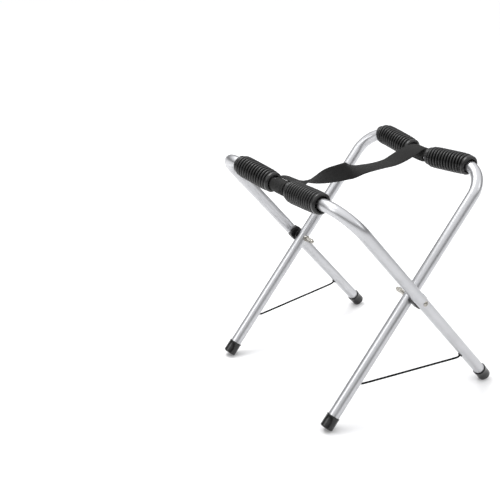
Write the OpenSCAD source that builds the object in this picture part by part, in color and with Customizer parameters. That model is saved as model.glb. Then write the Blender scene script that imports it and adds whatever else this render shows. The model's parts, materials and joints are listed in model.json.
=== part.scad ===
// Folding rack: two bent tube frames crossed on a pivot, with ribbed foam grips on
// the top bars, a webbing strap slung between them and two cords that limit the spread.
// X runs across the fold, Y along the top bars, Z up. The floor is Z = 0.
// "Front" is the -Y side and "back" the +Y side. The outer frame's bar is at -X.

/* [Frames] */
// Distance between the centrelines of the outer frame's legs
outer_w = 450; // [380:1:560]
// Clear gap between the outer tube and the inner tube at the pivot
leg_gap = 10.8; // [9:0.1:16]
// Distance from the pivot up to the lowest point of the top bar's centreline
arm_len = 294.2; // [240:0.5:360]
// Distance from the pivot down to the tube's lower end
leg_len = 324; // [265:1:400]
// Lean of each frame from upright when the rack stands open
open_lean = 40.65; // [32:0.05:46]

/* [Tube] */
// Outside diameter of the tube
tube_d = 25.4; // [21:0.1:31]
// Wall thickness of the tube
tube_wall = 1.5; // [1:0.1:2.5]
// Centreline radius of the two top corners
corner_r = 62; // [50:1:80]
// Slope of each half of the top bar, down to its middle
bar_slope = 6.4; // [3:0.1:10]
// Centreline radius of the bend in the middle of the top bar
dip_r = 220; // [180:5:280]

/* [Grips] */
// Largest outside diameter of a foam grip
grip_d = 48; // [40:0.5:58]
// Outside diameter of a grip's two ends
grip_end_d = 43; // [36:0.5:50]
// Length of a grip along the tube
grip_len = 119; // [95:1:140]
// Length of the narrower band at each end of a grip
grip_end_len = 9; // [5:0.5:15]
// Clear gap along the bar between its two grips
grip_gap = 54; // [46:1:70]
// How far the outer frame's pair of grips sits towards the back
outer_grip_shift = 4; // [0:0.5:8]
// How far the inner frame's pair of grips sits towards the back
inner_grip_shift = 6; // [0:0.5:8]

/* [Feet] */
// Thickness of the rubber round the tube
foot_wall = 1.6; // [1:0.1:4]
// Overall length of a rubber foot
foot_len = 30; // [24:1:40]
// Thickness of the rubber under the tube's end
foot_sole = 5; // [3:0.5:8]
// Radius of the rounded edge under a foot
foot_edge_r = 3; // [1:0.5:4]
// Depth of the flat that the floor leaves on the edge
foot_flat = 0.6; // [0.3:0.1:1]
// Height of the raised rim at the foot's mouth
foot_rim_h = 2.4; // [1:0.2:5]
// How far the rim stands out from the foot
foot_rim_t = 0.5; // [0.2:0.1:1]

/* [Pivot] */
// Diameter of the pivot bolt
bolt_d = 6; // [5:0.1:8]
// Diameter of the bolt's domed head
bolt_head_d = 12.4; // [10:0.1:15]
// Height of the bolt's domed head
bolt_head_h = 2.6; // [2:0.1:4]
// Length of the saddle spacer along the outer leg
saddle_len = 42; // [34:1:52]
// Thickness of the saddle's cup beside the outer leg
saddle_wall = 2.2; // [1:0.1:4]
// Thickness of the saddle's plate where it touches the leg
saddle_plate_t = 2.5; // [2:0.1:4]
// Diameter of the saddle's neck
neck_d = 15; // [12:0.5:20]
// Diameter of the saddle's flange next to the inner leg
flange_d = 22; // [16:0.5:26]
// Thickness of that flange
flange_t = 2.2; // [1.5:0.1:3]
// Diameter of the cupped washer on the inner leg
cup_d = 14; // [12.5:0.5:18]
// Height of the cupped washer above the inner leg
cup_h = 5; // [3:0.1:7]
// Outside diameter of the flat washer
washer_d = 12.5; // [11.5:0.1:18]
// Thickness of the flat washer and of the spring washer
washer_t = 1.6; // [1:0.1:2.5]
// Outside diameter of the spring washer
spring_d = 11; // [9.6:0.1:13]
// Width of the cut in the spring washer
spring_cut = 1.2; // [0.6:0.1:2]
// Width across the flats of both nuts
nut_af = 10; // [9.6:0.1:14]
// Height of the lock nut
lock_nut_h = 8; // [5:0.5:10]
// Height of the cap nut's six-sided part
nut_hex_h = 7; // [4:0.5:8]
// Diameter of the cap nut's dome
nut_dome_d = 9.4; // [8.5:0.1:12]

/* [Strap] */
// Width of the webbing
web_w = 38; // [30:1:44]
// Thickness of the webbing
web_t = 1.8; // [1.2:0.1:2.4]

/* [Cord] */
// Diameter of the limit cord
cord_d = 4; // [3:0.1:4.4]
// Distance from the pivot down to the cord's hole
cord_drop = 212.6; // [180:0.2:260]
// Diameter of the hole drilled for the eyelet
eyelet_hole_d = 7.4; // [6.6:0.1:9]
// Diameter of the eyelet's flange
eyelet_flange_d = 10.6; // [9.5:0.1:13]
// Diameter of the eyelet's bore
eyelet_bore_d = 4.8; // [4.5:0.1:5.6]
// Diameter of the stop knot inside the tube
knot_d = 8.4; // [7.2:0.1:10]

/* [Clearances] */
// Radial clearance of the bolt in everything that it passes through
bolt_fit = 0.05; // [0.02:0.01:0.1]
// Radial clearance between the tube and what is pushed onto it
push_fit = 0.05; // [0.02:0.01:0.1]
// Gap between faces that turn past each other at the pivot
turn_gap = 0.2; // [0.1:0.05:0.4]
// Gap between the strap's loop and the tube inside it
loop_gap = 0.3; // [0.1:0.1:1]
// Gap between the strap's loop and the free stretch of strap
span_gap = 0.6; // [0.4:0.1:1.5]

/* [Hidden] */
$fn = 64;

tube_r = tube_d / 2;
bore_r = tube_r - tube_wall;
bolt_r = bolt_d / 2;
foot_r = tube_r + push_fit + foot_wall;
inner_w = outer_w - 2 * (tube_d + leg_gap);
// A cutter runs this far past the faces that it cuts
past = 1;

// The lowest point of a foot's rounded edge, less the flat, sets the pivot's height
pivot_z = (leg_len + foot_sole - foot_edge_r) * cos(open_lean)
    + (foot_r - foot_edge_r) * sin(open_lean) + foot_edge_r - foot_flat;

// The bar turns down towards its middle, so each corner turns a little past square
corner_turn = 90 + bar_slope;
bar_apex = arm_len - dip_r * (1 / cos(bar_slope) - 1);
function corner_z(w) = bar_apex + w / 2 * tan(bar_slope) - corner_r * tan(corner_turn / 2);
// Where the straight part of the bar meets the corner: [y, z] in a frame's own plane
function bar_end(w) = [
    w / 2 - corner_r + corner_r * cos(corner_turn),
    corner_z(w) + corner_r * sin(corner_turn)
];
function bar_run(w) = (bar_end(w)[0] - dip_r * sin(bar_slope)) / cos(bar_slope);
// Distance along the bar, outwards from its corner, of the point at y
function along_bar(w, y) = (y - bar_end(w)[0]) / cos(bar_slope);

// ---- placing ----

module outer_pose() {
    translate([0, 0, pivot_z])
        rotate([0, -open_lean, 0])
            children();
}

module inner_pose() {
    mirror([1, 0, 0])
        outer_pose()
            children();
}

module front() {
    mirror([0, 1, 0])
        children();
}

// Turns a shape drawn in X and Y into the plane of Y and Z
module upright() {
    rotate([90, 0, 90])
        children();
}

// Points a shape drawn along +Z towards the rack's middle, from the back leg
module inwards(y) {
    translate([0, y, 0])
        rotate([90, 0, 0])
            children();
}

// ---- tube frames ----
// Each corner is drawn round its own centre: X points out to the leg and Y up it.

// A bend draws a tube down a little, and is drawn a little way into the straight lengths
bend_draw = 0.2;
bend_lap = 0.3;

module arc_rod(ring_r, r, from_deg, to_deg) {
    lap = bend_lap / ring_r * 180 / PI;
    rotate([0, 0, from_deg - lap])
        rotate_extrude(angle = to_deg - from_deg + 2 * lap)
            translate([ring_r, 0])
                circle(r = r - bend_draw);
}

module corner_frame(w) {
    translate([0, w / 2 - corner_r, corner_z(w)])
        upright()
            children();
}

// A length of the straight bar, between two distances inwards from the corner
module bar_rod(r, near, far) {
    rotate([0, 0, corner_turn])
        translate([corner_r, near, 0])
            rotate([-90, 0, 0])
                cylinder(h = far - near, r = r);
}

// The back half of a frame: its leg, its corner and its half of the bar
module half_rod(r, w, extra) {
    corner_frame(w) {
        translate([corner_r, 0, 0])
            rotate([90, 0, 0])
                cylinder(h = corner_z(w) + leg_len + extra, r = r);
        arc_rod(corner_r, r, 0, corner_turn);
        bar_rod(r, 0, bar_run(w));
    }
}

// The bend in the bar's middle, drawn round its own centre above the bar
module dip_frame() {
    translate([0, 0, arm_len + dip_r])
        upright()
            children();
}

module bent_rod(r, w, extra) {
    half_rod(r, w, extra);
    front() half_rod(r, w, extra);
    dip_frame()
        arc_rod(dip_r, r, -90 - bar_slope, bar_slope - 90);
}

module leg_holes(w) {
    inwards(w / 2 + tube_r + past)
        cylinder(h = tube_d + 2 * past, r = bolt_r + bolt_fit);
    translate([0, w / 2, -cord_drop])
        rotate([0, -90, 0])
            cylinder(h = tube_r + past, d = eyelet_hole_d);
}

module bent_tube(w) {
    color("silver")
        difference() {
            bent_rod(tube_r, w, 0);
            bent_rod(bore_r, w, past);
            leg_holes(w);
            front() leg_holes(w);
        }
}

// ---- foam grips ----

// A sleeve round the bar's back half, between two distances outwards from the start of
// the corner. What lies past the start follows the corner round.
module bar_sleeve(r, w, from, to) {
    corner_frame(w) {
        bar_rod(r, max(0, -to), -from);
        if (to > 0)
            arc_rod(corner_r, r, corner_turn - to / corner_r * 180 / PI, corner_turn);
    }
}

module grip(w, shift) {
    from = along_bar(w, grip_gap / 2 + shift);
    to = from + grip_len;
    color("dimgray")
        difference() {
            union() {
                bar_sleeve(grip_end_d / 2, w, from, to);
                bar_sleeve(grip_d / 2, w, from + grip_end_len, to - grip_end_len);
            }
            bar_sleeve(tube_r + push_fit, w, from - past, to + past);
        }
}

// ---- rubber feet ----

module foot_outline() {
    wall_h = foot_len - foot_edge_r;
    translate([0, -foot_sole])
        square([foot_r - foot_edge_r, foot_len]);
    translate([0, foot_edge_r - foot_sole])
        square([foot_r, wall_h]);
    translate([foot_r - foot_edge_r, foot_edge_r - foot_sole])
        circle(r = foot_edge_r);
    translate([0, foot_len - foot_sole - foot_rim_h])
        square([foot_r + foot_rim_t, foot_rim_h]);
}

module foot(w) {
    translate([0, w / 2, -leg_len])
        difference() {
            rotate_extrude()
                intersection() {
                    foot_outline();
                    translate([0, -foot_sole])
                        square([2 * foot_r, foot_len]);
                }
            cylinder(h = foot_len, r = tube_r + push_fit);
        }
}

// The floor wears the lowest edge of each foot flat
module on_floor() {
    reach = 2 * leg_len;
    color("black")
        intersection() {
            children();
            translate([-reach, -reach, 0])
                cube([2 * reach, 2 * reach, pivot_z]);
        }
}

// ---- pivot ----

outer_face = outer_w / 2 - tube_r;
inner_face = inner_w / 2 + tube_r;
inner_side = inner_w / 2 - tube_r;
cup_y = inner_side - cup_h;
washer_y = cup_y - turn_gap;
spring_y = washer_y - washer_t;
lock_nut_y = spring_y - washer_t;
nut_y = lock_nut_y - lock_nut_h;
nut_dome_r = nut_dome_d / 2;

saddle_w = 2 * (tube_r + push_fit + saddle_wall);

module stadium(w, l) {
    square([w, l - w], center = true);
    translate([0, (l - w) / 2]) circle(d = w);
    translate([0, (w - l) / 2]) circle(d = w);
}

// A cup round the outer leg, a neck, and a flange that the inner leg turns against
module pivot_saddle() {
    plate_y = outer_face - saddle_plate_t;
    flange_y = inner_face + turn_gap;
    cup_depth = tube_r * 3 / 4;
    color("black")
        difference() {
            union() {
                inwards(outer_face + cup_depth)
                    linear_extrude(cup_depth + saddle_plate_t)
                        stadium(saddle_w, saddle_len);
                inwards(plate_y + past)
                    cylinder(h = plate_y + past - flange_y, d = neck_d);
                inwards(flange_y + flange_t)
                    cylinder(h = flange_t, d = flange_d);
            }
            translate([0, outer_w / 2, -saddle_len])
                cylinder(h = 2 * saddle_len, r = tube_r + push_fit);
            inwards(outer_w / 2)
                cylinder(h = outer_w / 2 - inner_face, r = bolt_r + bolt_fit);
        }
}

// Sits on the inner leg: one side is hollowed to the tube and the other is flat
module cup_washer() {
    color("gainsboro")
        difference() {
            inwards(inner_w / 2 - tube_r / 2)
                cylinder(h = tube_r / 2 + cup_h, d = cup_d);
            translate([0, inner_w / 2, -cup_d])
                cylinder(h = 2 * cup_d, r = tube_r + push_fit);
            inwards(inner_w / 2)
                cylinder(h = tube_r + cup_h + past, r = bolt_r + bolt_fit);
        }
}

module pivot_bolt() {
    head_y = outer_w / 2 + tube_r;
    slot_l = bolt_head_d / 2;
    slot_w = 1.2;
    slot_h = 1.4;
    dome_r = (pow(bolt_head_d / 2, 2) + pow(bolt_head_h, 2)) / (2 * bolt_head_h);
    color("gainsboro") {
        inwards(head_y)
            cylinder(h = head_y - nut_y + nut_hex_h, r = bolt_r);
        difference() {
            intersection() {
                inwards(head_y + bolt_head_h)
                    cylinder(h = bolt_head_h, d = bolt_head_d);
                translate([0, head_y + bolt_head_h - dome_r, 0])
                    sphere(r = dome_r);
            }
            for (turn = [0, 90])
                translate([0, head_y + bolt_head_h, 0])
                    rotate([0, turn, 0])
                        cube([slot_l, 2 * slot_h, slot_w], center = true);
        }
    }
}

module flat_washer() {
    color("gainsboro")
        inwards(washer_y)
            difference() {
                cylinder(h = washer_t, d = washer_d);
                translate([0, 0, -past])
                    cylinder(h = washer_t + 2 * past, r = bolt_r + bolt_fit);
            }
}

module spring_washer() {
    color("silver")
        inwards(spring_y)
            difference() {
                cylinder(h = washer_t, d = spring_d);
                translate([0, 0, -past])
                    cylinder(h = washer_t + 2 * past, r = bolt_r + bolt_fit);
                translate([0, -spring_cut / 2, -past])
                    cube([spring_d, spring_cut, washer_t + 2 * past]);
            }
}

module hexagon(h) {
    cylinder(h = h, d = nut_af / cos(30), $fn = 6);
}

module lock_nut() {
    color("gainsboro")
        inwards(lock_nut_y)
            difference() {
                hexagon(lock_nut_h);
                translate([0, 0, -past])
                    cylinder(h = lock_nut_h + 2 * past, r = bolt_r + bolt_fit);
            }
}

module cap_nut() {
    collar_h = 1;
    color("gainsboro")
        inwards(nut_y)
            difference() {
                union() {
                    hexagon(nut_hex_h);
                    cylinder(h = nut_hex_h + collar_h, r = nut_dome_r);
                    translate([0, 0, nut_hex_h + collar_h])
                        sphere(r = nut_dome_r);
                }
                translate([0, 0, -past])
                    cylinder(h = nut_hex_h + collar_h + past, r = bolt_r + bolt_fit);
            }
}

// ---- strap ----

// Two turns of webbing round the bar
loop_r = tube_r + loop_gap + 2 * web_t;

// The loop lies round the bend in the bar's middle
module strap_loop(shift) {
    from_deg = asin((shift - web_w / 2) / dip_r);
    to_deg = asin((shift + web_w / 2) / dip_r);
    color("dimgray")
        dip_frame()
            rotate([0, 0, from_deg - 90])
                rotate_extrude(angle = to_deg - from_deg)
                    translate([dip_r, 0])
                        difference() {
                            circle(r = loop_r);
                            circle(r = tube_r + loop_gap);
                        }
}

// The free stretch, as stops from the outer bar to the inner one. Each stop gives its
// share of the way across, its height above the bars as a share of the height at which
// it leaves them, and how far the webbing has turned over.
strap_stops = [
    [0.00, 1.00, 0], [0.06, 0.50, 7], [0.12, 0.14, 19], [0.18, 0.08, 40],
    [0.24, 0.06, 62], [0.30, 0.05, 80], [0.36, 0.00, 93], [0.41, -0.02, 106],
    [0.45, -0.04, 124], [0.49, -0.06, 146], [0.54, -0.09, 164], [0.60, -0.14, 172],
    [0.68, -0.19, 176], [0.76, -0.15, 177], [0.82, 0.12, 176], [0.88, 0.45, 176],
    [0.94, 0.77, 178], [1.00, 1.00, 180]
];
bar_x = arm_len * sin(open_lean);
bar_z = pivot_z + arm_len * cos(open_lean);
// The strap leaves each loop near its top, this far inwards of the bar
leave_in = 5;
leave_x = bar_x - leave_in;
leave_z = loop_r + span_gap + web_t / 2;
strap_shift = (outer_grip_shift + inner_grip_shift) / 2;

function strap_point(stop, side, face) = let (
    across = side * web_w / 2,
    lift = face * web_t / 2
) [
    (2 * stop[0] - 1) * leave_x,
    strap_shift + across * cos(stop[2]) + lift * sin(stop[2]),
    bar_z + stop[1] * leave_z - across * sin(stop[2]) + lift * cos(stop[2])
];

// Joins rings of n points each into one closed skin. Opposite sides are split along the
// same slant, so a thin strip keeps its thickness as it turns over.
function skin_faces(rings, n) = concat(
    [[for (k = [0:n - 1]) k]],
    [for (i = [0:rings - 2]) for (k = [0:n - 1]) each skin_pair(
        i * n + k, (i + 1) * n + k, (i + 1) * n + (k + 1) % n, i * n + (k + 1) % n, k < n / 2)],
    [[for (k = [n - 1:-1:0]) (rings - 1) * n + k]]
);
function skin_pair(a, b, c, d, slant) = slant
    ? [[a, b, c], [a, c, d]]
    : [[a, b, d], [b, c, d]];

module strap_span() {
    corners = [[-1, -1], [-1, 1], [1, 1], [1, -1]];
    color("dimgray")
        polyhedron(
            points = [for (stop = strap_stops) for (c = corners) strap_point(stop, c[0], c[1])],
            faces = skin_faces(len(strap_stops), len(corners))
        );
}

// ---- limit cords ----

// The front cord's route, from its hole in the outer leg to its hole in the inner one
cord_route = [
    [130.6, -225, 89.2], [128.0, -225, 86.9], [125.0, -224.9, 84.8], [121.5, -224.5, 83.6],
    [117, -223.8, 83.2], [109, -222.6, 83.1], [100, -221.3, 83], [91, -220, 83],
    [82, -218.7, 83], [73, -217.4, 83], [64, -216.1, 83], [55, -214.8, 83],
    [46, -213.5, 83], [37, -212.2, 83], [28, -210.9, 83], [19, -209.6, 83],
    [10, -208.3, 83], [0, -206.9, 83], [-10, -205.5, 83], [-19, -204.2, 83],
    [-28, -202.9, 83], [-37, -201.6, 83], [-46, -200.3, 83], [-55, -199, 83],
    [-64, -197.7, 83], [-73, -196.4, 83], [-82, -195.1, 83], [-91, -193.8, 83],
    [-100, -192.5, 83], [-109, -191.2, 83.1], [-117, -190, 83.2], [-121.5, -189.3, 83.6],
    [-125.0, -188.9, 84.8], [-128.0, -188.8, 86.9], [-130.6, -188.8, 89.2]
];
cord_sides = 8;

function unit(v) = v / norm(v);
function heading(path, i) = unit(path[min(i + 1, len(path) - 1)] - path[max(i - 1, 0)]);
function cord_ring(path, i) = let (
    along = heading(path, i),
    across = unit(cross([0, 0, 1], along)),
    up = cross(along, across)
) [for (k = [0:cord_sides - 1])
    path[i] + cord_d / 2 * (cos(k * 360 / cord_sides) * across + sin(k * 360 / cord_sides) * up)];

module limit_cord() {
    color("black")
        polyhedron(
            points = [for (i = [0:len(cord_route) - 1]) each cord_ring(cord_route, i)],
            faces = [for (f = skin_faces(len(cord_route), cord_sides)) [for (k = [len(f) - 1:-1:0]) f[k]]]
        );
}

// A flanged eyelet lines each cord hole, and the cord's knot bears on its inner end
eyelet_inside = 1.2;
eyelet_wall_end = bore_r - eyelet_inside;
eyelet_flange_h = 1.2;

module eyelet(w) {
    color("black")
        translate([0, w / 2, -cord_drop])
            rotate([0, -90, 0])
                difference() {
                    union() {
                        translate([0, 0, eyelet_wall_end])
                            cylinder(h = tube_r - eyelet_wall_end, r = eyelet_hole_d / 2 - push_fit);
                        difference() {
                            translate([0, 0, bore_r])
                                cylinder(h = tube_wall + eyelet_flange_h, d = eyelet_flange_d);
                            rotate([0, 90, 0])
                                cylinder(h = 2 * eyelet_flange_d, r = tube_r + push_fit, center = true);
                        }
                    }
                    cylinder(h = tube_d, d = eyelet_bore_d);
                }
}

module knot(w) {
    color("black")
        translate([0, w / 2, -cord_drop])
            rotate([0, -90, 0])
                translate([0, 0, eyelet_wall_end - knot_d / 2 - push_fit])
                    sphere(d = knot_d);
}

// ---- nodes ----

module outer_tube() { outer_pose() bent_tube(outer_w); }
module inner_tube() { inner_pose() bent_tube(inner_w); }

module outer_grip_front() { outer_pose() front() grip(outer_w, -outer_grip_shift); }
module outer_grip_back() { outer_pose() grip(outer_w, outer_grip_shift); }
module inner_grip_front() { inner_pose() front() grip(inner_w, -inner_grip_shift); }
module inner_grip_back() { inner_pose() grip(inner_w, inner_grip_shift); }

module outer_foot_front() { on_floor() outer_pose() front() foot(outer_w); }
module outer_foot_back() { on_floor() outer_pose() foot(outer_w); }
module inner_foot_front() { on_floor() inner_pose() front() foot(inner_w); }
module inner_foot_back() { on_floor() inner_pose() foot(inner_w); }

module pivot_saddle_front() { outer_pose() front() pivot_saddle(); }
module pivot_saddle_back() { outer_pose() pivot_saddle(); }
module cup_washer_front() { inner_pose() front() cup_washer(); }
module cup_washer_back() { inner_pose() cup_washer(); }
module pivot_bolt_front() { outer_pose() front() pivot_bolt(); }
module pivot_bolt_back() { outer_pose() pivot_bolt(); }
module flat_washer_front() { outer_pose() front() flat_washer(); }
module flat_washer_back() { outer_pose() flat_washer(); }
module spring_washer_front() { outer_pose() front() spring_washer(); }
module spring_washer_back() { outer_pose() spring_washer(); }
module lock_nut_front() { outer_pose() front() lock_nut(); }
module lock_nut_back() { outer_pose() lock_nut(); }
module cap_nut_front() { outer_pose() front() cap_nut(); }
module cap_nut_back() { outer_pose() cap_nut(); }

module strap_loop_outer() { outer_pose() strap_loop(strap_shift); }
module strap_loop_inner() { inner_pose() strap_loop(strap_shift); }

module limit_cord_front() { limit_cord(); }
module limit_cord_back() { front() limit_cord(); }
module outer_eyelet_front() { outer_pose() front() eyelet(outer_w); }
module outer_eyelet_back() { outer_pose() eyelet(outer_w); }
module inner_eyelet_front() { inner_pose() front() eyelet(inner_w); }
module inner_eyelet_back() { inner_pose() eyelet(inner_w); }
module outer_knot_front() { outer_pose() front() knot(outer_w); }
module outer_knot_back() { outer_pose() knot(outer_w); }
module inner_knot_front() { inner_pose() front() knot(inner_w); }
module inner_knot_back() { inner_pose() knot(inner_w); }

outer_tube();
inner_tube();
outer_grip_front();
outer_grip_back();
inner_grip_front();
inner_grip_back();
outer_foot_front();
outer_foot_back();
inner_foot_front();
inner_foot_back();
pivot_saddle_front();
pivot_saddle_back();
cup_washer_front();
cup_washer_back();
pivot_bolt_front();
pivot_bolt_back();
flat_washer_front();
flat_washer_back();
spring_washer_front();
spring_washer_back();
lock_nut_front();
lock_nut_back();
cap_nut_front();
cap_nut_back();
strap_loop_outer();
strap_loop_inner();
strap_span();
limit_cord_front();
limit_cord_back();
outer_eyelet_front();
outer_eyelet_back();
inner_eyelet_front();
inner_eyelet_back();
outer_knot_front();
outer_knot_back();
inner_knot_front();
inner_knot_back();
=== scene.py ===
# %% [markdown]
# # A folding rack of bent tube
#
# The rack is two bent aluminium frames that cross on a pivot. Each top bar carries two ribbed
# foam grips, a webbing strap hangs between the bars with a half twist, and a cord on each side
# limits how far the legs spread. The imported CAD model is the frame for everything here: it
# says where each piece is, and each piece rides on one of its two bodies.

# %% Load the frame
import json
from math import atan2, cos, pi, radians, sin, tan

import bmesh
import bpy
from mathutils import Matrix, Vector


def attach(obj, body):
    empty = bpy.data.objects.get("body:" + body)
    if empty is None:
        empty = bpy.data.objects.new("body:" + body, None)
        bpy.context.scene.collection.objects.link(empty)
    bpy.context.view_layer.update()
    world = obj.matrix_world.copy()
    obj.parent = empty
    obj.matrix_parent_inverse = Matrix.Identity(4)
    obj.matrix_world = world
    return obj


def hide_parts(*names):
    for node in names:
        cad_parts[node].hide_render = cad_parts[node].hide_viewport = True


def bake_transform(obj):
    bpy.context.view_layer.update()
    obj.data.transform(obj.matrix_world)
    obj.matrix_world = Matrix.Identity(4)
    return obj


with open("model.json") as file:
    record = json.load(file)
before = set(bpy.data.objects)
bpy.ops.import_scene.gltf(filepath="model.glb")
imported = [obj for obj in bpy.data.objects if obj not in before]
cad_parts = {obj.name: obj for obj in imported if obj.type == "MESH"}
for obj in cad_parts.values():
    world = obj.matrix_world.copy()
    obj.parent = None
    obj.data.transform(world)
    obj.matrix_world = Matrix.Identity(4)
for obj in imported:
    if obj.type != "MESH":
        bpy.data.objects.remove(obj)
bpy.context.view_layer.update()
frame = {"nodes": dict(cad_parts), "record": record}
hinge = frame["record"]["behaviour"]["joints"][0]
pivot = Vector(hinge["pos_m"])

# %% [markdown]
# ## Camera
#
# The camera looks down on the rack from the front left corner, with a lens a little longer than
# normal. A camera could be aimed by a constraint, but its place and its three turns say the same
# with nothing to solve, so they are set directly.

# %% Camera
CAMERA_PLACE = (-1.2541, -1.4878, 1.1617)
CAMERA_DOWN = 24.19
CAMERA_HEADING = (0.5493, 0.8356)
CAMERA_ROLL = 0.55
LENS_MM = 68.26

camera_data = bpy.data.cameras.new("camera")
camera_data.lens = LENS_MM
camera_data.sensor_width = 36
camera = bpy.data.objects.new("camera", camera_data)
bpy.context.scene.collection.objects.link(camera)
heading = -atan2(CAMERA_HEADING[0], CAMERA_HEADING[1])
turned = Matrix.Rotation(heading, 4, "Z") @ Matrix.Rotation(radians(90 - CAMERA_DOWN), 4, "X")
rolled = turned @ Matrix.Rotation(radians(-CAMERA_ROLL), 4, "Z")
camera.matrix_world = Matrix.Translation(CAMERA_PLACE) @ rolled
bpy.context.scene.camera = camera
print("camera", CAMERA_PLACE, "lens", LENS_MM, "mm")

# %% [markdown]
# ## Helpers for swept shapes
#
# Nearly every piece here is a ring of points carried along a line: a tube, a cord, a turned
# washer. A curve with a bevel would give the plain tubes, but not the ribs of a grip or the
# rounded edge of a foot, so one helper joins rings of points into a closed mesh, and the
# pieces differ only in their rings.

# %% Mesh helpers
def unit(v):
    return v / v.length


def make_piece(name, points, faces, uv=None):
    """A smooth mesh object from points and faces, with its normals outwards."""
    mesh = bpy.data.meshes.new(name)
    mesh.from_pydata([tuple(p) for p in points], [], faces)
    if uv:
        layer = mesh.uv_layers.new(name="along")
        for loop in mesh.loops:
            layer.data[loop.index].uv = uv[loop.vertex_index]
    work = bmesh.new()
    work.from_mesh(mesh)
    bmesh.ops.recalc_face_normals(work, faces=work.faces)
    work.to_mesh(mesh)
    work.free()
    for face in mesh.polygons:
        face.use_smooth = True
    piece = bpy.data.objects.new(name, mesh)
    bpy.context.scene.collection.objects.link(piece)
    return piece


def ring_faces(rings, count, loop_closed=False):
    """Quads between neighbouring rings of count points each."""
    faces = []
    for i in range(rings if loop_closed else rings - 1):
        j = (i + 1) % rings
        for k in range(count):
            n = (k + 1) % count
            faces.append((i * count + k, i * count + n, j * count + n, j * count + k))
    return faces


def circle(centre, across, up, r, sides):
    return [centre + r * (cos(2 * pi * k / sides) * across + sin(2 * pi * k / sides) * up)
            for k in range(sides)]


def sharpen(piece, angle=35):
    """Smooth shading that keeps an edge sharper than the angle."""
    piece.data.set_sharp_from_angle(angle=radians(angle))


def lathe(name, origin, axis, profile, sides=64, closed=False):
    """Turns a profile of (distance along the axis, radius) round the axis."""
    axis = unit(Vector(axis))
    across = unit(axis.orthogonal())
    up = axis.cross(across)
    points = []
    for along, r in profile:
        points += circle(Vector(origin) + axis * along, across, up, max(r, 1e-5), sides)
    faces = ring_faces(len(profile), sides, loop_closed=closed)
    if not closed:
        last = (len(profile) - 1) * sides
        faces += [tuple(range(sides)), tuple(range(last, last + sides))]
    piece = make_piece(name, points, faces)
    sharpen(piece)
    return piece


def arc(centre, r, from_deg, to_deg, steps):
    """Points of a circle's arc in the plane of a profile."""
    turn = (to_deg - from_deg) / steps
    return [(centre[0] + r * cos(radians(from_deg + i * turn)),
             centre[1] + r * sin(radians(from_deg + i * turn))) for i in range(steps + 1)]

# %% [markdown]
# ## Limit cords
#
# Two black braided cords, one on each side, are knotted inside the tubes and come out of a hole
# in each lower leg. They are taut when the rack stands open. Each is a tube along the points of
# its route.

# %% Limit cords
CORD_D = 0.0044
CORD_SIDES = 20
FRONT_CORD = [
    (130.6, -225, 89.2), (128.0, -225, 86.9), (125.0, -224.9, 84.8), (121.5, -224.5, 83.6),
    (117, -223.8, 83.2), (109, -222.6, 83.1), (100, -221.3, 83), (91, -220, 83),
    (82, -218.7, 83), (73, -217.4, 83), (64, -216.1, 83), (55, -214.8, 83),
    (46, -213.5, 83), (37, -212.2, 83), (28, -210.9, 83), (19, -209.6, 83),
    (10, -208.3, 83), (0, -206.9, 83), (-10, -205.5, 83), (-19, -204.2, 83),
    (-28, -202.9, 83), (-37, -201.6, 83), (-46, -200.3, 83), (-55, -199, 83),
    (-64, -197.7, 83), (-73, -196.4, 83), (-82, -195.1, 83), (-91, -193.8, 83),
    (-100, -192.5, 83), (-109, -191.2, 83.1), (-117, -190, 83.2), (-121.5, -189.3, 83.6),
    (-125.0, -188.9, 84.8), (-128.0, -188.8, 86.9), (-130.6, -188.8, 89.2),
]


def cord_tube(name, route):
    points = []
    for i, place in enumerate(route):
        along = unit(route[min(i + 1, len(route) - 1)] - route[max(i - 1, 0)])
        across = unit(Vector((0, 0, 1)).cross(along))
        points += circle(place, across, along.cross(across), CORD_D / 2, CORD_SIDES)
    last = (len(route) - 1) * CORD_SIDES
    ends = [tuple(range(CORD_SIDES)), tuple(range(last, last + CORD_SIDES))]
    return make_piece(name, points, ring_faces(len(route), CORD_SIDES) + ends)


cords = {}
for side, mirror in (("front", 1), ("back", -1)):
    route = [Vector((x, mirror * y, z)) / 1000 for x, y, z in FRONT_CORD]
    piece = cord_tube("cord_" + side, route)
    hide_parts("limit_cord_" + side)
    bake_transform(piece)
    cords[side] = piece

# %% [markdown]
# ## The line of each frame
#
# Each frame is one tube bent three times: at two corners, and a little in the middle of the top
# bar, so that the bar dips. Everything on it follows the line of the tube: the tube's own skin,
# the grips and the strap's loops. So the line comes first, as a function from the distance
# along the tube to a place and a direction.

# %% The frame's line
OPEN_LEAN = radians(40.65)
BAR_SLOPE = radians(6.4)
ARM = 0.2942
LEG = 0.324
CORNER_R = 0.062
DIP_R = 0.220
TUBE_R = 0.0127
OUTER_W = 0.450
INNER_W = 0.3776


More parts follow.
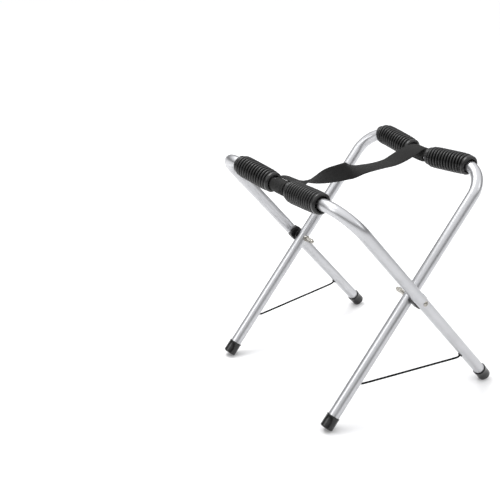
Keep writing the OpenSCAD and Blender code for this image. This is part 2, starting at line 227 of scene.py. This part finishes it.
class Rail:
    """The centreline of a frame's tube, from the middle of its top bar down a leg."""

    def __init__(self, side, width):
        self.side = side
        self.width = width
        self.turn = pi / 2 + BAR_SLOPE
        apex = ARM - DIP_R * (1 / cos(BAR_SLOPE) - 1)
        self.corner_z = apex + width / 2 * tan(BAR_SLOPE) - CORNER_R * tan(self.turn / 2)
        self.dip = DIP_R * BAR_SLOPE
        end_y = width / 2 - CORNER_R + CORNER_R * cos(self.turn)
        self.bar = (end_y - DIP_R * sin(BAR_SLOPE)) / cos(BAR_SLOPE)
        self.corner = CORNER_R * self.turn
        self.length = self.dip + self.bar + self.corner + self.corner_z + LEG

    def flat(self, s):
        """(y, height, direction in y, direction in height) in the frame's own plane."""
        a = abs(s)
        if a < self.dip:
            t = a / DIP_R
            y, z = DIP_R * sin(t), ARM + DIP_R * (1 - cos(t))
        elif a < self.dip + self.bar:
            t = BAR_SLOPE
            run = a - self.dip
            y = DIP_R * sin(t) + run * cos(t)
            z = ARM + DIP_R * (1 - cos(t)) + run * sin(t)
        elif a < self.dip + self.bar + self.corner:
            t = BAR_SLOPE - (a - self.dip - self.bar) / CORNER_R
            y = self.width / 2 - CORNER_R - CORNER_R * sin(t)
            z = self.corner_z + CORNER_R * cos(t)
        else:
            t = -pi / 2
            y = self.width / 2
            z = self.corner_z - (a - self.dip - self.bar - self.corner)
        if s < 0:
            return -y, z, cos(t), -sin(t)
        return y, z, cos(t), sin(t)

    def place(self, y, z, out=0.0):
        """A point of the frame's plane, lifted out of it, in the rack's own frame."""
        x = -z * sin(OPEN_LEAN) + out * cos(OPEN_LEAN)
        height = z * cos(OPEN_LEAN) + out * sin(OPEN_LEAN)
        return Vector((self.side * x, y, pivot.z + height))

    def normal(self):
        return Vector((self.side * cos(OPEN_LEAN), 0, sin(OPEN_LEAN)))

    def at(self, s):
        """(place, direction) of the centreline, s along the tube from the bar's middle."""
        y, z, dy, dz = self.flat(s)
        return self.place(y, z), unit(self.place(y + dy, z + dz) - self.place(y, z))

    def along(self, y):
        """The distance along the tube of the point of the bar at y."""
        low, high = 0.0, self.dip + self.bar + self.corner
        for _ in range(50):
            middle = (low + high) / 2
            if self.flat(middle)[0] < abs(y):
                low = middle
            else:
                high = middle
        return low if y > 0 else -low

    def ring(self, s, r, sides):
        """A circle of points round the tube's centreline."""
        centre, along = self.at(s)
        normal = self.normal()
        return circle(centre, normal, along.cross(normal), r, sides)


rails = {"outer": Rail(1, OUTER_W), "inner": Rail(-1, INNER_W)}
for name, rail in rails.items():
    print(name, "tube", round(2 * rail.length, 3), "m along its line")

# %% [markdown]
# ## Aluminium tube
#
# The tube is drawn aluminium with a satin silver finish. A rough metal alone looks like plastic,
# because real drawn tube has fine scratches along its length and faint cloudy patches from
# handling. Noise stretched along the tube gives the first, and large soft noise the second.

# %% Material helpers
class Recipe:
    """A material's nodes, with the shader's own sockets set by name."""

    def __init__(self, name, **settings):
        self.material = bpy.data.materials.new(name)
        self.material.use_nodes = True
        self.tree = self.material.node_tree
        self.shader = self.tree.nodes["Principled BSDF"]
        for socket, value in settings.items():
            self.shader.inputs[socket.replace("_", " ")].default_value = value

    def add(self, kind, inputs=None, **settings):
        made = self.tree.nodes.new(kind)
        for key, value in settings.items():
            setattr(made, key, value)
        for key, value in (inputs or {}).items():
            if isinstance(value, bpy.types.NodeSocket):
                self.tree.links.new(value, made.inputs[key])
            else:
                made.inputs[key].default_value = value
        return made

    def place(self, scale=(1, 1, 1), uv=False):
        """Object coordinates, stretched by a scale, or the coordinates along a strip."""
        if uv:
            source = self.add("ShaderNodeUVMap", uv_map="along").outputs[0]
        else:
            source = self.add("ShaderNodeTexCoord").outputs["Object"]
        return self.add("ShaderNodeMapping", {"Vector": source, "Scale": scale}).outputs[0]

    def noise(self, place, scale, detail=4.0, rough=0.55):
        made = self.add("ShaderNodeTexNoise",
                        {"Vector": place, "Scale": scale, "Detail": detail, "Roughness": rough})
        return made.outputs["Fac"]

    def span(self, value, low, high, from_low=0.3, from_high=0.7):
        made = self.add("ShaderNodeMapRange",
                        {"Value": value, "From Min": from_low, "From Max": from_high,
                         "To Min": low, "To Max": high})
        return made.outputs["Result"]

    def mix(self, factor, first, second):
        made = self.add("ShaderNodeMix", data_type="RGBA")
        for socket, value in ((made.inputs[0], factor), (made.inputs[6], first),
                              (made.inputs[7], second)):
            if isinstance(value, bpy.types.NodeSocket):
                self.tree.links.new(value, socket)
            else:
                socket.default_value = value
        return made.outputs[2]

    def math(self, operation, a, b=0.0):
        made = self.add("ShaderNodeMath", {0: a, 1: b}, operation=operation)
        return made.outputs[0]

    def colour(self, value):
        self.tree.links.new(value, self.shader.inputs["Base Color"])

    def roughness(self, value):
        self.tree.links.new(value, self.shader.inputs["Roughness"])

    def bump(self, height, distance, strength):
        made = self.add("ShaderNodeBump",
                        {"Height": height, "Distance": distance, "Strength": strength})
        self.tree.links.new(made.outputs[0], self.shader.inputs["Normal"])


def grey(value, warm=0.0):
    return (value * (1 + warm), value, value * (1 - warm), 1)

# %% Satin aluminium
def satin_aluminium():
    recipe = Recipe("satin_aluminium", Metallic=1.0, Specular_IOR_Level=0.5)
    clouds = recipe.noise(recipe.place(), 14.0)
    grain = recipe.noise(recipe.place(uv=True, scale=(3.0, 900.0, 1.0)), 1.0, 6.0, 0.6)
    base = recipe.mix(recipe.span(clouds, 0.0, 1.0), (0.50, 0.503, 0.515, 1), (0.57, 0.575, 0.59, 1))
    recipe.colour(recipe.mix(recipe.span(grain, 0.0, 0.35), base, (0.44, 0.443, 0.455, 1)))
    recipe.roughness(recipe.math("ADD", recipe.span(clouds, 0.27, 0.33),
                                 recipe.span(grain, 0.0, 0.05)))
    recipe.bump(grain, 0.00002, 0.5)
    return recipe.material


aluminium = satin_aluminium()

# %% [markdown]
# ## Tubes
#
# The CAD tubes have a small step at each bend, and flat facets. A skin swept along the same line
# has neither, and its long coordinate carries the grain round the bends. The tube is hollow, so
# it has an inner skin too, and the open ends stop inside the rubber feet.

# %% Tubes
TUBE_SIDES = 56
TUBE_WALL = 0.0015
BEND_STEP = 0.003
STRAIGHT_STEP = 0.02


def stops(rail):
    """Distances along half a tube, close together in its bends."""
    marks = [0.0, rail.dip, rail.dip + rail.bar, rail.dip + rail.bar + rail.corner, rail.length]
    steps = [BEND_STEP, STRAIGHT_STEP, BEND_STEP, STRAIGHT_STEP]
    found = []
    for low, high, step in zip(marks, marks[1:], steps):
        count = max(1, round((high - low) / step))
        found += [low + (high - low) * i / count for i in range(count)]
    return found + [rail.length]


def tube(name, rail):
    half = stops(rail)
    line = [-s for s in reversed(half[1:])] + half
    rings = [(s, TUBE_R) for s in line] + [(s, TUBE_R - TUBE_WALL) for s in reversed(line)]
    points, uv = [], []
    for s, r in rings:
        points += rail.ring(s, r, TUBE_SIDES)
        uv += [(s, k / TUBE_SIDES) for k in range(TUBE_SIDES)]
    piece = make_piece(name, points, ring_faces(len(rings), TUBE_SIDES, loop_closed=True), uv=uv)
    sharpen(piece, 60)
    piece.data.materials.append(aluminium)
    return piece


for name, rail in rails.items():
    piece = tube(name + "_tube_skin", rail)
    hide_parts(name + "_tube")
    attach(piece, name + "_frame")
    print(piece.name, len(piece.data.polygons), "faces")

# %% [markdown]
# ## Foam grips
#
# The grips are moulded black foam with round ribs about eight millimetres apart. One end has a
# plain band with a bevel, and the other is rounded. Each grip is a turned profile whose axis
# follows the bar, so a grip that reaches the corner bends round it. The ribs are real shape,
# since bump alone would leave the outline smooth.

# %% Foam material
def foam():
    recipe = Recipe("black_foam", IOR=1.5, Specular_IOR_Level=0.5)
    speckle = recipe.noise(recipe.place(), 1500.0, 2.0)
    patch = recipe.noise(recipe.place(), 45.0, 3.0)
    base = recipe.mix(recipe.span(patch, 0.0, 1.0), grey(0.0018), grey(0.0035, 0.03))
    recipe.colour(recipe.mix(recipe.span(speckle, 0.0, 0.5), base, grey(0.007)))
    recipe.roughness(recipe.span(patch, 0.24, 0.34))
    recipe.bump(speckle, 0.00012, 0.6)
    return recipe.material


black_foam = foam()

# %% Grips
GRIP_LEN = 0.119
GRIP_GAP = 0.054
GRIP_SHIFT = {"outer": 0.004, "inner": 0.006}
RIB_R = 0.0238
GROOVE_R = 0.0180
COLLAR_R = 0.0219
BORE_R = 0.0129
COLLAR_LEN = 0.0105
RIBS = 13
GRIP_SIDES = 72


def grip_profile():
    """(distance from the collar's end, radius) round the whole section of a grip's wall."""
    outside = [(0.0050, 0.0145), (0.0012, 0.0156), (0.0, 0.0166), (0.0, 0.0188), (0.0006, 0.0196),
               (0.0024, 0.0212), (0.0034, 0.0218), (0.0046, COLLAR_R),
               (COLLAR_LEN - 0.0022, COLLAR_R + 0.0003), (COLLAR_LEN - 0.0010, COLLAR_R - 0.0002),
               (COLLAR_LEN - 0.0003, 0.0210), (COLLAR_LEN, GROOVE_R)]
    pitch = (GRIP_LEN - COLLAR_LEN - 0.004) / RIBS
    for i in range(RIBS):
        start = COLLAR_LEN + i * pitch
        across = (i + 0.5) / RIBS
        crown = RIB_R - 0.0011 * (2 * across - 1) ** 4 - 0.0024 * max(0, across - 0.86) / 0.14
        depth = crown - GROOVE_R
        floor = GROOVE_R - 0.0016 * max(0, across - 0.9) / 0.1
        rise = [(0.16, 0.0), (0.20, 0.40), (0.26, 0.76), (0.36, 0.95), (0.47, 1.0), (0.61, 1.0),
                (0.72, 0.95), (0.82, 0.76), (0.88, 0.40), (0.92, 0.0)]
        outside += [(start + share * pitch, floor + depth * height) for share, height in rise]
    tail = GRIP_LEN - 0.004
    outside += [(tail + 0.0008, 0.0196), (tail + 0.0022, 0.0188), (tail + 0.0034, 0.0174),
                (GRIP_LEN, 0.0156), (GRIP_LEN - 0.0008, 0.0142)]
    inside = [(GRIP_LEN - 0.003, BORE_R), (GRIP_LEN * 2 / 3, BORE_R), (GRIP_LEN / 3, BORE_R),
              (0.006, BORE_R)]
    return outside + inside


def grip(name, rail, start):
    """A grip whose collar end is at a distance along the tube. It reaches towards the back."""
    profile = grip_profile()
    points = []
    for along, r in profile:
        points += rail.ring(start + along, r, GRIP_SIDES)
    piece = make_piece(name, points, ring_faces(len(profile), GRIP_SIDES, loop_closed=True))
    piece.data.materials.append(black_foam)
    return piece


for name, rail in rails.items():
    shift = GRIP_SHIFT[name]
    back = rail.along(GRIP_GAP / 2 + shift)
    front = rail.along(shift - GRIP_GAP / 2) - GRIP_LEN
    for side, start in (("front", front), ("back", back)):
        piece = grip(f"{name}_ribbed_grip_{side}", rail, start)
        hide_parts(f"{name}_grip_{side}")
        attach(piece, name + "_frame")
        print(piece.name, len(piece.data.polygons), "faces")

# %% [markdown]
# ## Rubber feet
#
# A moulded cap covers the end of each leg. It has a small rim at its mouth and a rounded edge
# below, which the floor has worn flat. It is turned like the other round pieces, and what would
# reach below the floor is pressed up to it.

# %% Rubber material
def rubber():
    recipe = Recipe("black_rubber", IOR=1.5, Specular_IOR_Level=0.5)
    dust = recipe.noise(recipe.place(), 60.0, 5.0)
    fine = recipe.noise(recipe.place(), 900.0, 2.0)
    recipe.colour(recipe.mix(recipe.span(dust, 0.0, 1.0, 0.5, 0.8), grey(0.002), grey(0.006, 0.05)))
    recipe.roughness(recipe.span(dust, 0.14, 0.28))
    recipe.bump(fine, 0.00004, 0.4)
    return recipe.material


black_rubber = rubber()

# %% Feet
FOOT_R = 0.01435
FOOT_LEN = 0.030
FOOT_SOLE = 0.005
FOOT_EDGE = 0.003
RIM_H = 0.0024
RIM_OUT = 0.0005


def foot_profile():
    """(distance below the tube's end, radius), round the whole section of the foot's wall."""
    mouth = FOOT_SOLE - FOOT_LEN
    edge = arc((FOOT_SOLE - FOOT_EDGE, FOOT_R - FOOT_EDGE), FOOT_EDGE, 90, 0, 8)
    outside = [(mouth + 0.0004, FOOT_R - 0.0004), (mouth, FOOT_R), (mouth + 0.0003, FOOT_R + 0.0003),
               (mouth + 0.0008, FOOT_R + RIM_OUT), (mouth + RIM_H - 0.0006, FOOT_R + RIM_OUT),
               (mouth + RIM_H, FOOT_R + 0.0002), (mouth + RIM_H + 0.0005, FOOT_R),
               (mouth + FOOT_LEN / 2, FOOT_R)] + edge
    sole = [(FOOT_SOLE, FOOT_R / 2), (FOOT_SOLE, 0)]
    inside = [(0, 0), (0, TUBE_R + 0.0001), (mouth + 0.001, TUBE_R + 0.0001)]
    return outside + sole + inside


for name, rail in rails.items():
    for side, way in (("front", -1), ("back", 1)):
        end = rail.place(way * rail.width / 2, -LEG)
        down = unit(end - rail.place(way * rail.width / 2, 0))
        piece = lathe(f"{name}_rubber_foot_{side}", end, down, foot_profile(), closed=True)
        for point in piece.data.vertices:
            point.co.z = max(point.co.z, 0.0)
        piece.data.materials.append(black_rubber)
        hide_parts(f"{name}_foot_{side}")
        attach(piece, name + "_frame")
        print(piece.name, "lowest", round(min(v.co.z for v in piece.data.vertices), 5))

# %% [markdown]
# ## Webbing strap
#
# One length of black woven webbing is sewn round each bar and turns over once between them. It is
# modelled directly, as a thin closed band carried along a line and turned about it: a cloth
# simulation would have to be held at both ends and twisted to give the same shape. Its woven
# ribs run across the band, so the material uses the coordinates along and across it.

# %% Webbing material
WEAVE_RIB = 0.0011
WEAVE_YARN = 0.0016


def webbing():
    recipe = Recipe("black_webbing", IOR=1.46, Specular_IOR_Level=0.2, Sheen_Weight=0.04,
                    Sheen_Roughness=0.4)
    uv = recipe.place(uv=True)
    split = recipe.add("ShaderNodeSeparateXYZ", {"Vector": uv})
    ribs = recipe.math("SINE", recipe.math("MULTIPLY", split.outputs[0], 2 * pi / WEAVE_RIB))
    yarns = recipe.math("SINE", recipe.math("MULTIPLY", split.outputs[1], 2 * pi / WEAVE_YARN))
    weave = recipe.math("MULTIPLY", ribs, yarns)
    height = recipe.math("ADD", weave, recipe.math("MULTIPLY", ribs, 0.5))
    wear = recipe.noise(recipe.place(), 70.0, 5.0)
    base = recipe.mix(recipe.span(wear, 0.0, 1.0), grey(0.006), grey(0.013, 0.04))
    recipe.colour(recipe.mix(recipe.span(height, 0.0, 0.45, -1.0, 1.5), base, grey(0.026)))
    recipe.roughness(recipe.span(wear, 0.55, 0.72))
    recipe.bump(height, 0.00018, 0.8)
    return recipe.material


black_webbing = webbing()

# %% The free stretch
WEB_W = 0.038
WEB_T = 0.0018
BAND_POINTS = 15
BAND_STEPS = 120
LOOP_R = TUBE_R + 0.0003 + 2 * WEB_T
STRAP_Y = 0.005
# How much the band cups across its width where it hangs free
STRAP_CUP = 0.0022
LEAVE_X = ARM * sin(OPEN_LEAN) - 0.005
LEAVE_Z = LOOP_R + 0.0006 + WEB_T / 2
BAR_Z = pivot.z + ARM * cos(OPEN_LEAN)
# Share of the way across, height above the bars as a share of the height at which it leaves
# them, and how far the webbing has turned over, in degrees
STRAP_STOPS = [
    (0.00, 0.93, 0), (0.03, 0.78, -8), (0.06, 0.55, -10), (0.09, 0.33, -4), (0.12, 0.15, 7),
    (0.18, 0.08, 37), (0.24, 0.06, 62),
    (0.30, 0.05, 80), (0.36, 0.02, 92), (0.41, 0.02, 102), (0.45, 0.02, 116),
    (0.485, -0.06, 146), (0.53, -0.10, 165), (0.60, -0.14, 173), (0.68, -0.19, 176),
    (0.76, -0.17, 173), (0.82, 0.08, 165), (0.88, 0.42, 161), (0.94, 0.77, 168), (1.00, 1.00, 180),
]


def smooth_between(table, share, column):
    """A value of the table at a share of the way, by a smooth curve through its stops."""
    i = max(j for j in range(len(table) - 1) if table[j][0] <= share)
    near = [table[max(0, min(len(table) - 1, i + d))] for d in (-1, 0, 1, 2)]
    width = near[2][0] - near[1][0]
    t = (share - near[1][0]) / width
    slopes = [(near[k + 1][column] - near[k - 1][column]) * width
              / max(near[k + 1][0] - near[k - 1][0], 1e-6) for k in (1, 2)]
    return ((2 * t**3 - 3 * t**2 + 1) * near[1][column] + (t**3 - 2 * t**2 + t) * slopes[0]
            + (3 * t**2 - 2 * t**3) * near[2][column] + (t**3 - t**2) * slopes[1])


def band(name, rows, uv_rows):
    """A thin closed band from rows of points: the top from one edge to the other, then below."""
    count = len(rows[0])
    last = (len(rows) - 1) * count
    faces = ring_faces(len(rows), count) + [tuple(range(count)), tuple(range(last, last + count))]
    points = [p for row in rows for p in row]
    uv = [p for row in uv_rows for p in row]
    piece = make_piece(name, points, faces, uv=uv)
    sharpen(piece, 50)
    piece.data.materials.append(black_webbing)
    return piece


def band_section(width, thickness):
    """(across, lift) round a strip's section, with its two woven edges rounded."""
    half = [(-1 + 2 * k / (BAND_POINTS - 1)) for k in range(BAND_POINTS)]
    top = [(a * width / 2, thickness / 2 * (1 if abs(a) < 0.96 else 0.35)) for a in half]
    return top + [(a, -lift) for a, lift in reversed(top)]


def span_row(share):
    height = smooth_between(STRAP_STOPS, share, 1)
    turned = radians(smooth_between(STRAP_STOPS, share, 2))
    x = (2 * share - 1) * LEAVE_X
    cup = STRAP_CUP * sin(pi * share)
    row = []
    for across, lift in band_section(WEB_W, WEB_T):
        lifted = lift + cup * ((2 * across / WEB_W) ** 2 - 0.4)
        row.append(Vector((x, STRAP_Y + across * cos(turned) + lifted * sin(turned),
                           BAR_Z + height * LEAVE_Z - across * sin(turned) + lifted * cos(turned))))
    return row


shares = [i / BAND_STEPS for i in range(BAND_STEPS + 1)]
span_rows = [span_row(share) for share in shares]
span_length = 2 * LEAVE_X
span_uv = [[(share * span_length, across) for across, _ in band_section(WEB_W, WEB_T)]
           for share in shares]
span = band("strap_free_stretch", span_rows, span_uv)
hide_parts("strap_span")
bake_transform(span)
print("free stretch", round(span_length, 3), "m between its loops")

# %% [markdown]
# ## Strap loops
#
# Round each bar the webbing goes twice, the second turn a little to one side of the first, and
# its end is sewn down. Each loop is a band wound in a spiral about the bar's line, drawn so that
# its outer turn ends on top, where the free stretch leaves it. The cut tail of the webbing sticks
# out from under it, inwards. The two tails lie side by side when the rack is folded.

# %% Loops
LOOP_STEPS = 96
LOOP_TURNS = 1.9
LOOP_DRIFT = 0.006
LOOP_SEAT = 0.0004
# A tight wrap presses each turn a little thinner than the free webbing
WRAP_PITCH = 0.95 * WEB_T
WRAP_T = 0.9 * WEB_T


def loop(name, rail):
    rows, uv_rows = [], []
    normal = rail.normal()
    for i in range(LOOP_STEPS + 1):
        share = i / LOOP_STEPS
        angle = share * LOOP_TURNS * 2 * pi - OPEN_LEAN
        middle = STRAP_Y + LOOP_DRIFT * (2 * share - 1)
        r = TUBE_R + LOOP_SEAT + WEB_T / 2 + share * WRAP_PITCH
        row, uv_row = [], []
        for across, lift in band_section(WEB_W, WRAP_T):
            centre, along = rail.at(rail.along(middle + across))
            up = along.cross(normal)
            out = cos(angle) * normal + sin(angle) * up
            row.append(centre + out * (r + lift))
            uv_row.append((share * LOOP_TURNS * 2 * pi * r, across))
        rows.append(row)
        uv_rows.append(uv_row)
    return band(name, rows, uv_rows)


# (distance in from where the strap leaves, height above the bar's line) along a sewn tail's middle
TAIL_WIDTH = 0.42 * WEB_W
TAILS = {"outer": [(-0.004, 0.0150), (0.006, 0.0140), (0.016, 0.0110), (0.026, 0.0070), (0.034, 0.0044),
                   (0.040, 0.0046), (0.045, 0.0072)],
         "inner": [(-0.004, 0.0150), (0.008, 0.0138), (0.018, 0.0100), (0.026, 0.0052), (0.032, 0.0012)]}
TAIL_Y = {"outer": -0.0120, "inner": 0.0065}
TAIL_SLANT = 0.35
TAIL_REACH = 0.04


def tail(name, way):
    """The cut end of the webbing, which hangs inwards from its loop and curls a little."""
    rows, uv_rows = [], []
    for inwards, height in TAILS[name]:
        row, uv_row = [], []
        for across, lift in band_section(TAIL_WIDTH, WEB_T * 0.8):
            x = way * (LEAVE_X - inwards - TAIL_SLANT * across * max(0, inwards) / TAIL_REACH)
            row.append(Vector((x, TAIL_Y[name] + across, BAR_Z + height + lift)))
            uv_row.append((inwards, across))
        rows.append(row)
        uv_rows.append(uv_row)
    return band(f"{name}_strap_tail", rows, uv_rows)


for name, rail in rails.items():
    piece = tail(name, -1 if name == "outer" else 1)
    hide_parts("strap_loop_" + name)
    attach(piece, name + "_frame")
    piece = loop(f"{name}_strap_wrap", rail)
    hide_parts("strap_loop_" + name)
    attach(piece, name + "_frame")
    print(piece.name, "goes round the bar", LOOP_TURNS, "times")

# %% [markdown]
# ## Pivots, eyelets and cord
#
# The CAD pieces of the pivot already have the right shapes, so they keep them and get finishes:
# black moulded plastic for the saddle, zinc plate for the bolt, the washers and both nuts, and
# a braid for the cord.

# %% Plastic, steel and braid
def moulded_plastic():
    recipe = Recipe("black_plastic", IOR=1.5, Specular_IOR_Level=0.5)
    fine = recipe.noise(recipe.place(), 700.0, 3.0)
    recipe.colour(recipe.mix(recipe.span(fine, 0.0, 1.0), grey(0.008), grey(0.014)))
    recipe.roughness(recipe.span(fine, 0.30, 0.42))
    recipe.bump(fine, 0.00005, 0.4)
    return recipe.material


def zinc_plate():
    recipe = Recipe("zinc_plate", Metallic=1.0)
    patch = recipe.noise(recipe.place(), 220.0, 4.0)
    recipe.colour(recipe.mix(recipe.span(patch, 0.0, 1.0), (0.34, 0.32, 0.28, 1), (0.50, 0.49, 0.46, 1)))
    recipe.roughness(recipe.span(patch, 0.16, 0.28))
    recipe.bump(patch, 0.00005, 0.4)
    return recipe.material


def braid():
    recipe = Recipe("braided_cord", IOR=1.45, Specular_IOR_Level=0.15)
    strands = recipe.add("ShaderNodeTexWave",
                         {"Vector": recipe.place(), "Scale": 260.0, "Distortion": 1.5},
                         wave_type="BANDS", bands_direction="DIAGONAL").outputs["Fac"]
    recipe.colour(recipe.mix(strands, grey(0.003), grey(0.012)))
    recipe.roughness(recipe.span(strands, 0.55, 0.75, 0, 1))
    recipe.bump(strands, 0.0002, 0.8)
    return recipe.material


black_plastic = moulded_plastic()
bright_zinc = zinc_plate()
black_braid = braid()
FINISHES = {"pivot_plastic": black_plastic, "eyelet_plastic": black_plastic,
            "hardware": bright_zinc, "cord": black_braid}
for part in frame["record"]["subparts"]:
    finish = FINISHES.get(part["material_slot"])
    if finish:
        node = frame["nodes"][part["node"]]
        node.data.materials.clear()
        node.data.materials.append(finish)
for piece in cords.values():
    piece.data.materials.append(black_braid)
print("finishes on", len(FINISHES), "slots")

# %% [markdown]
# ## Floor and light
#
# A pale floor fills the view, and a bright overcast world lights it from above. Satin metal
# shows what it reflects, so the world has a dark band near the horizon: it gives the tubes
# their darker stripe beside a bright one.

# %% Floor
FLOOR_HALF = 6.0
floor_mesh = bpy.data.meshes.new("floor")
corners = [(-FLOOR_HALF, -FLOOR_HALF, 0), (FLOOR_HALF, -FLOOR_HALF, 0),
           (FLOOR_HALF, FLOOR_HALF, 0), (-FLOOR_HALF, FLOOR_HALF, 0)]
floor_mesh.from_pydata(corners, [], [(0, 1, 2, 3)])
floor = bpy.data.objects.new("floor", floor_mesh)
bpy.context.scene.collection.objects.link(floor)
paper = Recipe("pale_floor", Base_Color=(0.9, 0.9, 0.9, 1), Roughness=0.9, Specular_IOR_Level=0.1)
floor_mesh.materials.append(paper.material)

# %% World
world = bpy.data.worlds.new("studio")
bpy.context.scene.world = world
world.use_nodes = True
tree = world.node_tree
background = tree.nodes["Background"]
direction = tree.nodes.new("ShaderNodeTexCoord")
split = tree.nodes.new("ShaderNodeSeparateXYZ")
ramp = tree.nodes.new("ShaderNodeValToRGB")
tree.links.new(direction.outputs["Generated"], split.inputs[0])
tree.links.new(split.outputs["Z"], ramp.inputs[0])
tree.links.new(ramp.outputs[0], background.inputs[0])
SKY = [(0.0, 0.50), (0.10, 0.20), (0.30, 0.38), (0.50, 1.15), (1.0, 1.4)]
for i, (place, value) in enumerate(SKY):
    stop = ramp.color_ramp.elements[i] if i < 2 else ramp.color_ramp.elements.new(place)
    stop.position = place
    stop.color = (value, value, value * 1.01, 1)
background.inputs["Strength"].default_value = 1.0

# %% Lamps
def soft_lamp(name, place, aim, size, power):
    data = bpy.data.lights.new(name, "AREA")
    data.shape = "RECTANGLE"
    data.size, data.size_y = size
    data.energy = power
    lamp = bpy.data.objects.new(name, data)
    bpy.context.scene.collection.objects.link(lamp)
    lamp.matrix_world = Matrix.Translation(place) @ (
        Vector(aim) - Vector(place)).to_track_quat("-Z", "Y").to_matrix().to_4x4()
    return lamp


CENTRE = (0, 0, 0.3)
soft_lamp("overhead", (-0.3, 0.9, 2.2), CENTRE, (1.2, 0.8), 22)
soft_lamp("left_window", (-2.4, 0.6, 1.7), CENTRE, (0.8, 1.4), 10)
soft_lamp("right_window", (1.6, -2.2, 1.9), CENTRE, (0.6, 1.2), 6)
bpy.context.scene.view_settings.view_transform = "Standard"
print("lamps", len(bpy.data.lights))
